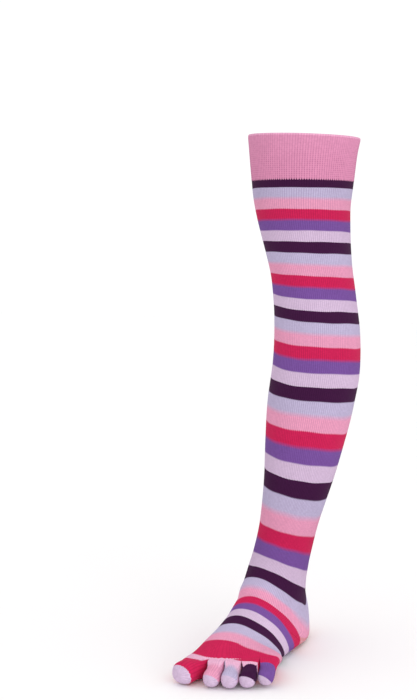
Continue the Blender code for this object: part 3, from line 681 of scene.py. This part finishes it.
def linear(hex_colour):
    """A colour written in sRGB hex as linear values."""
    parts = [int(hex_colour[k:k + 2], 16) / 255 for k in (0, 2, 4)]
    return tuple(p / 12.92 if p <= 0.04045 else ((p + 0.055) / 1.055) ** 2.4 for p in parts) + (1.0,)


# Yarns: dyed combed cotton with a little polyamide. The dye lies deep in matt staple fibres, so the colours
# are full and hardly shine. The heel's pink is a warmer one, and the gore's pink is paled by stretch. The rim's
# paler pink is no yarn but a painted highlight along the top edge of the cuff.
YARNS = {
    "orchid": "d58dae",
    "plum": "3d183c",
    "blue": "b7adc9",
    "rose": "de97b3",
    "crimson": "c42352",
    "violet": "744f95",
    "lilac": "cbb4cd",
    "web": "e4b0ca",
    "heel": "de989f",
    # Painted highlight along the top edge of the cuff, not a yarn
    "rim": "e6a6c4",
    "gore": "f2c6d6",
}
# Colours laid over the yarns: single dark loops, painted shade in the groove between wales, and holes in the
# cuff
LOOP_SHADE = "6f4f6c"
GROOVE_SHADE = "8d6ba3"
HOLE_SHADE = "a03f6b"


def node(tree, kind, settings=None, links=None):
    """Adds a node: settings go to its properties, or by number or name to its sockets, and links join it."""
    made = tree.nodes.new(kind)
    for key, value in (settings or {}).items():
        if isinstance(key, int) or key in made.inputs:
            made.inputs[key].default_value = value
        else:
            setattr(made, key, value)
    for key, source in (links or {}).items():
        tree.links.new(source, made.inputs[key])
    return made


def maths(tree, operation, first, second=None, third=None, clamp=False):
    """A Math node's value: operation on sockets or numbers."""
    made = node(tree, "ShaderNodeMath", {"operation": operation, "use_clamp": clamp})
    for k, value in enumerate((first, second, third)):
        if isinstance(value, (int, float)):
            made.inputs[k].default_value = value
        elif value is not None:
            tree.links.new(value, made.inputs[k])
    return made.outputs[0]


def uv_parts(tree, map_name):
    """The two numbers of a UV map."""
    uv = node(tree, "ShaderNodeUVMap", {"uv_map": map_name})
    parts = node(tree, "ShaderNodeSeparateXYZ", links={0: uv.outputs[0]})
    return parts.outputs[0], parts.outputs[1]


def ramp(tree, value, stops):
    """Colour from a value by stops of place and sRGB hex."""
    made = node(tree, "ShaderNodeValToRGB", links={0: value})
    elements = made.color_ramp.elements
    while len(elements) < len(stops):
        elements.new(1.0)
    for element, (place, colour) in zip(elements, sorted(stops)):
        element.position = place
        element.color = linear(colour)
    return made.outputs[0]


def mix(tree, factor, first, second, blend="MIX"):
    """Colour between two colours, each a socket or sRGB hex."""
    made = node(tree, "ShaderNodeMix", {"data_type": "RGBA", "blend_type": blend})
    for k, value in ((6, first), (7, second)):
        if isinstance(value, str):
            made.inputs[k].default_value = linear(value)
        else:
            tree.links.new(value, made.inputs[k])
    if isinstance(factor, float):
        made.inputs[0].default_value = factor
    else:
        tree.links.new(factor, made.inputs[0])
    return made.outputs[2]


def knit_material(name, colour_of, groove_shade=0.30, rib=False):
    """Plain weft knit in combed cotton. Each wale is a column of V stitches with a groove on either side:
    the eye sees fine upright lines, darker in the grooves, and a soft matt face. colour_of gives the yarn's
    colour from the tree, the distance off the wale's middle, the course number and the two numbers of the
    stripes map. Not every one of these functions needs all of them.
    """
    material = bpy.data.materials.new(name)
    material.use_nodes = True
    tree = material.node_tree
    shader = tree.nodes["Principled BSDF"]
    wale, course = uv_parts(tree, "wales")
    in_wale = maths(tree, "FRACT", wale)
    off = maths(tree, "MULTIPLY", maths(tree, "ABSOLUTE", maths(tree, "SUBTRACT", in_wale, 0.5)), 2.0)
    colour = colour_of(tree, off, course, *uv_parts(tree, "stripes"))

    # Dye and lighting of single stitches: each loop a little lighter or darker than its neighbours
    cell = node(tree, "ShaderNodeCombineXYZ",
                links={0: maths(tree, "FLOOR", wale), 1: maths(tree, "FLOOR", course)})
    speck = node(tree, "ShaderNodeTexWhiteNoise", {"noise_dimensions": "2D"}, {"Vector": cell.outputs[0]})
    place = node(tree, "ShaderNodeTexCoord").outputs["Object"]
    patch = node(tree, "ShaderNodeTexNoise", {"Scale": 28.0, "Detail": 2.0}, {"Vector": place})
    tone = maths(tree, "ADD", maths(tree, "MULTIPLY", speck.outputs[0], 0.10),
                 maths(tree, "MULTIPLY", patch.outputs[0], 0.14))
    colour = mix(tree, maths(tree, "SUBTRACT", tone, 0.06, clamp=True), colour, LOOP_SHADE, "MULTIPLY")

    # Painted shade in the groove between wales: darker there, as in a recess, and a little violet, where the
    # inside of the knit shows through
    groove = maths(tree, "POWER", off, 3.0)
    colour = mix(tree, maths(tree, "MULTIPLY", groove, groove_shade), colour, GROOVE_SHADE, "MULTIPLY")
    tree.links.new(colour, shader.inputs["Base Color"])

    # Stitches: two legs in each wale that rise from the groove, each leg a slanting bead for every course
    leg = maths(tree, "SINE", maths(tree, "MULTIPLY", off, math.pi))
    slanted = maths(tree, "ADD", course, maths(tree, "MULTIPLY", off, 0.6))
    bead = maths(tree, "SINE", maths(tree, "MULTIPLY", slanted, 2 * math.pi))
    ridge = maths(tree, "MULTIPLY", maths(tree, "SUBTRACT", 1.0, off), 0.75 if rib else 0.45)
    height = maths(tree, "ADD", maths(tree, "MULTIPLY", leg, 0.45), ridge)
    height = maths(tree, "ADD", height, maths(tree, "MULTIPLY", bead, 0.18))
    fuzz = node(tree, "ShaderNodeTexNoise", {"Scale": 1400.0, "Detail": 3.0}, {"Vector": place})
    height = maths(tree, "ADD", height, maths(tree, "MULTIPLY", fuzz.outputs[0], 0.35))
    bump = node(tree, "ShaderNodeBump", {"Strength": 0.55, "Distance": 0.0004}, {"Height": height})
    tree.links.new(bump.outputs[0], shader.inputs["Normal"])

    shader.inputs["Roughness"].default_value = 0.85
    shader.inputs["IOR"].default_value = 1.5
    shader.inputs["Specular IOR Level"].default_value = 0.03
    shader.inputs["Sheen Weight"].default_value = 0.03
    shader.inputs["Sheen Roughness"].default_value = 0.45
    shader.inputs["Sheen Tint"].default_value = (1.0, 0.93, 0.96, 1.0)
    return material


# Painted light and shade along the stripes, lighter where the light falls fuller: the tone rises from the
# shaded top of the leg over the calf, falls a little at the shin and rises again over the foot
PAINTED_LIGHT_TONES = ((2.0, 7.0, 1.06), (21.0, 26.0, 0.96), (29.0, 32.0, 1.12))
# Painted light on the toes: their colours lighter, as lit from above
TOE_PAINTED_LIGHT = 1.14
# How far inside the first and the last border the stripe number is held, so that no other yarn shows there
FIRST_HOLD = 0.01
LAST_HOLD = 0.2
# Stripes from the cuff down, and how softly each yarn gives way to the next, in stripes
STRIPE_ORDER = (("plum", 0.03), ("blue", 0.18), ("rose", 0.04),
                ("crimson", 0.14), ("violet", 0.04), ("lilac", 0.03))


def striped_colour(tree, off, course, stripe, _=None):
    """Six yarns in turn, by the stripe number modulo 6. The edge steps up and down by half a course in each
    wale. The last stripe keeps its yarn to its end, where the pale web of the toes follows it.
    """
    stepped = maths(tree, "ADD", stripe, maths(tree, "MULTIPLY", off, 0.5 / COURSES))
    last = STRIPE_BORDERS[-1][0]
    held = maths(tree, "MAXIMUM", maths(tree, "MINIMUM", stepped, last - LAST_HOLD), FIRST_HOLD)
    turn = maths(tree, "FRACT", maths(tree, "DIVIDE", held, 6.0))
    stops = []
    for k, (yarn, soft) in enumerate(STRIPE_ORDER):
        before = STRIPE_ORDER[k - 1][1]
        stops += [((k + before) / 6, YARNS[yarn]), ((k + 1 - soft) / 6, YARNS[yarn])]
    colour = ramp(tree, turn, stops)
    colour = mix(tree, maths(tree, "GREATER_THAN", stepped, last), colour, YARNS["web"])
    # Painted light and shade: each stripe lighter or darker by where it lies down the sock
    tone = None
    for start, end, share in PAINTED_LIGHT_TONES:
        step = node(tree, "ShaderNodeMapRange", {1: start, 2: end, 3: 1.0, 4: share}, {0: stripe}).outputs[0]
        tone = step if tone is None else maths(tree, "MULTIPLY", tone, step)
    return node(tree, "ShaderNodeHueSaturation", links={"Color": colour, "Value": tone}).outputs[0]


# Places down the cuff, as shares of its height: where the painted highlight along the rim ends, between which
# shares the holes grow clear, and where the plum yarn starts and how high its teeth are
CUFF_RIM_HIGHLIGHT = 0.018
CUFF_HOLES = (0.12, 0.62)
CUFF_PLUM = 0.985
CUFF_TEETH = 0.036


def cuff_colour(tree, off, course, down, _):
    """Orchid with small dark holes where the elastic pulls the rib in, in rows that grow clear down the
    cuff. At its foot the plum yarn of the first stripe already starts, between teeth of orchid.
    """
    in_row = maths(tree, "ABSOLUTE", maths(tree, "SUBTRACT", maths(tree, "FRACT", course), 0.5))
    row = maths(tree, "SUBTRACT", 1.0, maths(tree, "MULTIPLY", in_row, 3.2), clamp=True)
    hole = maths(tree, "MULTIPLY", row, maths(tree, "POWER", off, 2.0))
    low = node(tree, "ShaderNodeMapRange", {1: CUFF_HOLES[0], 2: CUFF_HOLES[1]}, {0: down}).outputs[0]
    clear = maths(tree, "ADD", maths(tree, "MULTIPLY", low, 0.75), 0.12)
    # Painted highlight: a paler pink band along the top edge of the cuff
    colour = mix(tree, maths(tree, "LESS_THAN", down, CUFF_RIM_HIGHLIGHT), YARNS["orchid"], YARNS["rim"])
    colour = mix(tree, maths(tree, "MULTIPLY", hole, clear), colour, HOLE_SHADE)
    tooth = maths(tree, "ADD", down, maths(tree, "MULTIPLY", off, CUFF_TEETH))
    return mix(tree, maths(tree, "GREATER_THAN", tooth, CUFF_PLUM), colour, YARNS["plum"])


def heel_colour(tree, off, course, stripe, gore):
    """Warm pink, with the gore line a paler row of stretched stitches, up to the first stripe of the foot."""
    dashes = maths(tree, "MULTIPLY", gore, maths(tree, "SUBTRACT", 1.0, maths(tree, "MULTIPLY", off, 0.7)))
    colour = mix(tree, dashes, YARNS["heel"], YARNS["gore"])
    return mix(tree, maths(tree, "GREATER_THAN", stripe, LEG_STRIPES + 1.0), colour,
               striped_colour(tree, off, course, stripe))


def toe_colour(yarn, start, soft, tip):
    """The toe's yarn between the pale web, or the wide crimson stripe's end, and a lilac tip."""
    def colour_of(tree, off, course, off_web, tip_share):
        stepped = maths(tree, "ADD", off_web, maths(tree, "MULTIPLY", off, 0.02))
        stops = [(0.498, YARNS["crimson"]), ((1 + start + soft) / 2, YARNS[yarn])]
        if start > 0:
            stops += [(0.502, YARNS["web"]), ((1 + start) / 2, YARNS["web"])]
        colour = ramp(tree, maths(tree, "MULTIPLY_ADD", stepped, 0.5, 0.5), stops)
        jagged = maths(tree, "ADD", tip_share, maths(tree, "MULTIPLY", off, 0.02))
        colour = mix(tree, maths(tree, "GREATER_THAN", jagged, tip), colour, YARNS["lilac"])
        # Painted light: the toe's colours made lighter, as if lit from above
        return node(tree, "ShaderNodeHueSaturation", {"Value": TOE_PAINTED_LIGHT}, {"Color": colour}).outputs[0]
    return colour_of


FLOOR_HALF = 6.0
FLOOR_GAP = 0.001


def make_floor():
    """A plain matt pale floor, a hair under the sole."""
    ground = -float(RIM_CENTRE[2]) - FLOOR_GAP
    corners = [(x * FLOOR_HALF, y * FLOOR_HALF, ground) for x, y in ((-1, -1), (1, -1), (1, 1), (-1, 1))]
    mesh = bpy.data.meshes.new("floor")
    mesh.from_pydata(corners, [], [(0, 1, 2, 3)])
    material = bpy.data.materials.new("matt_white_paper")
    material.use_nodes = True
    shader = material.node_tree.nodes["Principled BSDF"]
    shader.inputs["Base Color"].default_value = linear("fbfafa")
    shader.inputs["Roughness"].default_value = 0.9
    mesh.materials.append(material)
    floor = bpy.data.objects.new("floor", mesh)
    bpy.context.scene.collection.objects.link(floor)


def aim(thing, place, target):
    """Puts a light or camera at a place, looking at a target."""
    thing.location = place
    direction = np.array(target) - np.array(place)
    turn = math.atan2(direction[0], direction[1])
    rise = math.atan2(direction[2], math.hypot(direction[0], direction[1]))
    thing.rotation_euler = (math.pi / 2 + rise, 0.0, -turn)


def make_light(name, place, target, size, watts):
    """A soft square lamp."""
    lamp = bpy.data.lights.new(name, "AREA")
    lamp.shape = "SQUARE"
    lamp.size = size
    lamp.energy = watts
    thing = bpy.data.objects.new(name, lamp)
    bpy.context.scene.collection.objects.link(thing)
    aim(thing, place, target)


# Brightness of the room; place, target, size and watts of the key lamp
ROOM_LIGHT = 1.05
KEY_PLACE = (1.5, -1.4, -0.25)
KEY_TARGET = (0.0, 0.0, -0.38)
KEY_SIZE = 1.1
KEY_WATTS = 10.5


def make_lights():
    """Even studio light: an overlit white room, and a large soft key from the right, as high as the calf."""
    world = bpy.data.worlds.new("white_room")
    bpy.context.scene.world = world
    world.use_nodes = True
    background = world.node_tree.nodes["Background"]
    background.inputs[0].default_value = (1.0, 1.0, 1.0, 1.0)
    background.inputs[1].default_value = ROOM_LIGHT
    make_light("key", KEY_PLACE, KEY_TARGET, KEY_SIZE, KEY_WATTS)


# The photo's camera, in the frame of the ground under the ankle. The picture is 417 by 700 pixels.
VIEW_AZIMUTH = math.radians(23.5)
VIEW_DISTANCE = 1.5
VIEW_RIGHT = 0.0918
VIEW_HEIGHT = 0.488
PICTURE_HEIGHT = 700
FOCAL_PIXELS = 1250.0
HORIZON_ROW = 241.5
SENSOR = 36.0


def make_camera():
    """The photo's viewpoint: low, a little to the little-toe side of the front."""
    right = np.array([math.cos(VIEW_AZIMUTH), math.sin(VIEW_AZIMUTH), 0.0])
    ahead = np.array([-math.sin(VIEW_AZIMUTH), math.cos(VIEW_AZIMUTH), 0.0])
    place = np.array([0.0, 0.0, VIEW_HEIGHT]) - VIEW_RIGHT * right - VIEW_DISTANCE * ahead - RIM_CENTRE
    pitch = math.atan((PICTURE_HEIGHT / 2 - HORIZON_ROW) / FOCAL_PIXELS)
    camera = bpy.data.cameras.new("camera")
    camera.sensor_width = SENSOR
    camera.lens = FOCAL_PIXELS * SENSOR / PICTURE_HEIGHT
    camera.clip_end = 50.0
    thing = bpy.data.objects.new("camera", camera)
    bpy.context.scene.collection.objects.link(thing)
    aim(thing, place, place + ahead * math.cos(pitch) - np.array([0.0, 0.0, math.sin(pitch)]))
    bpy.context.scene.camera = thing


make_camera()
make_floor()
make_lights()
bpy.context.scene.view_settings.view_transform = "Standard"

make_cuff(knit_material("rib_knit_cotton_orchid", cuff_colour, groove_shade=0.22, rib=True))
make_leg(knit_material("plain_knit_cotton_leg", striped_colour, groove_shade=0.42))
make_heel(knit_material("plain_knit_cotton_heel", heel_colour))
make_foot(knit_material("plain_knit_cotton_foot", striped_colour, groove_shade=0.16))
toe_start = 0.0
for toe in TOES:
    make_toe(toe, toe_start, knit_material("plain_knit_cotton_" + toe[0], toe_colour(*toe[7:11])))
    toe_start = toe[1]
